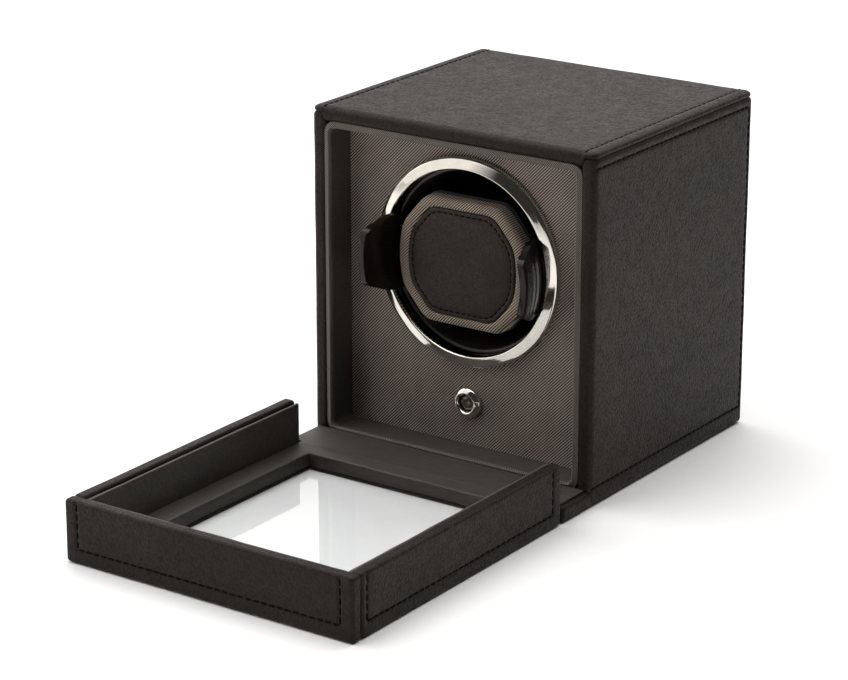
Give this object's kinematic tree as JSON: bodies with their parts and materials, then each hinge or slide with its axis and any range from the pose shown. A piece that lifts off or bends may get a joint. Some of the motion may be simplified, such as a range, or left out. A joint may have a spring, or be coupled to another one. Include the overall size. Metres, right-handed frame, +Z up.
{
  "type": "watch winder box",
  "caption": "Leather-wrapped cube watch winder with a drop-down glazed front cover, chrome-ringed turning drum, removable watch cuff and front push button.",
  "frame": {"origin": "centre of the case's footprint (the open cover and its ledge left out), on the surface it stands on", "axes": "+Y towards the back, along the drum's axis; +X to the right seen from the front; +Z up"},
  "size_m": [0.14, 0.2938, 0.151],
  "materials": {
    "leather": "fine pebbled black leatherette, low sheen",
    "twill": "diagonal twill stripes, taupe on near-black",
    "satin_lining": "brown-grey satin lining cloth",
    "polished_chrome": "polished",
    "steel": "plain",
    "brass": "plain",
    "matte_black_plastic": "moulded, fine texture",
    "gloss_black_plastic": "glossy",
    "white_nylon": "natural nylon",
    "retainer_board": "fibreboard",
    "circuit_board": "solder mask",
    "glass": "clear, polished",
    "smoky_lens": "smoky translucent"
  },
  "bodies": {
    "case": {"base_panel": "leather", "side_panel_left": "leather", "side_panel_right": "leather", "top_panel": "leather", "back_panel": "leather", "case_magnet_left": "steel", "case_magnet_right": "steel", "opening_frame": "twill", "front_plate": "twill", "bezel_ring": "polished_chrome", "drum_housing": "matte_black_plastic", "housing_screw_1": "steel", "housing_screw_2": "steel", "housing_screw_3": "steel", "housing_screw_4": "steel", "bearing_bush": "brass", "motor_bracket": "steel", "bracket_screw_left": "steel", "bracket_screw_right": "steel", "gearbox_housing": "matte_black_plastic", "drive_motor": "steel", "button_bezel": "polished_chrome", "button_nut": "steel", "button_switch": "matte_black_plastic", "button_spring": "steel", "board_rail_left": "matte_black_plastic", "board_rail_right": "matte_black_plastic", "control_board": "circuit_board", "power_inlet": "matte_black_plastic", "inlet_nut": "steel", "hinge_cloth": "satin_lining"},
    "drum": {"rotor_cup": "gloss_black_plastic", "drum_gear": "white_nylon", "gear_clip": "steel"},
    "pinion": {"motor_pinion": "brass", "pinion_shaft": "steel"},
    "cuff": {"cuff_cap": "twill", "cuff_patch": "leather", "cap_backplate": "matte_black_plastic", "cuff_core": "matte_black_plastic", "core_back_cover": "matte_black_plastic", "wing_pin_left": "steel", "wing_pin_right": "steel", "wing_spring_left": "steel", "wing_spring_right": "steel"},
    "wing_left": {"wing_left": "gloss_black_plastic"},
    "wing_right": {"wing_right": "gloss_black_plastic"},
    "button": {"power_button": "smoky_lens"},
    "cover": {"cover_face_frame": "leather", "glass_pane": "glass", "glass_retainer": "retainer_board", "cover_floor_lining": "satin_lining", "cover_wall_left": "leather", "cover_wall_right": "leather", "cover_wall_top": "leather", "cover_lining_left": "satin_lining", "cover_lining_right": "satin_lining", "cover_lining_top": "satin_lining", "cover_magnet_left": "steel", "cover_magnet_right": "steel"}
  },
  "joints": [
    {"name": "cover_hinge", "type": "hinge", "parent": "case", "child": "cover", "pos_m": [0, -0.084, 0.007], "axis": [-1, 0, 0], "range_deg": [0, 90], "deforming": ["hinge_cloth"]},
    {"name": "drum_spin", "type": "hinge", "parent": "case", "child": "drum", "pos_m": [0, -0.02, 0.0902], "axis": [0, 1, 0], "continuous": true},
    {"name": "pinion_spin", "type": "hinge", "parent": "case", "child": "pinion", "pos_m": [0, 0.02, 0.0602], "axis": [0, 1, 0], "continuous": true},
    {"name": "cuff_slide", "type": "slide", "parent": "drum", "child": "cuff", "axis": [0, -1, 0], "range_m": [0, 0.011]},
    {"name": "wing_left_squeeze", "type": "hinge", "parent": "cuff", "child": "wing_left", "pos_m": [-0.0315, -0.008, 0.0902], "axis": [0, 0, 1], "range_deg": [0, 2], "stiffness_Nm_per_rad": 0.4},
    {"name": "wing_right_squeeze", "type": "hinge", "parent": "cuff", "child": "wing_right", "pos_m": [0.0315, -0.008, 0.0902], "axis": [0, 0, -1], "range_deg": [0, 2], "stiffness_Nm_per_rad": 0.4},
    {"name": "button_press", "type": "slide", "parent": "case", "child": "button", "axis": [0, 1, 0], "range_m": [0, 0.0012], "stiffness_N_per_m": 400, "deforming": ["button_spring"]}
  ],
  "couplings": [
    {"joint": "pinion_spin", "follows": "drum_spin", "ratio": -4}
  ]
}
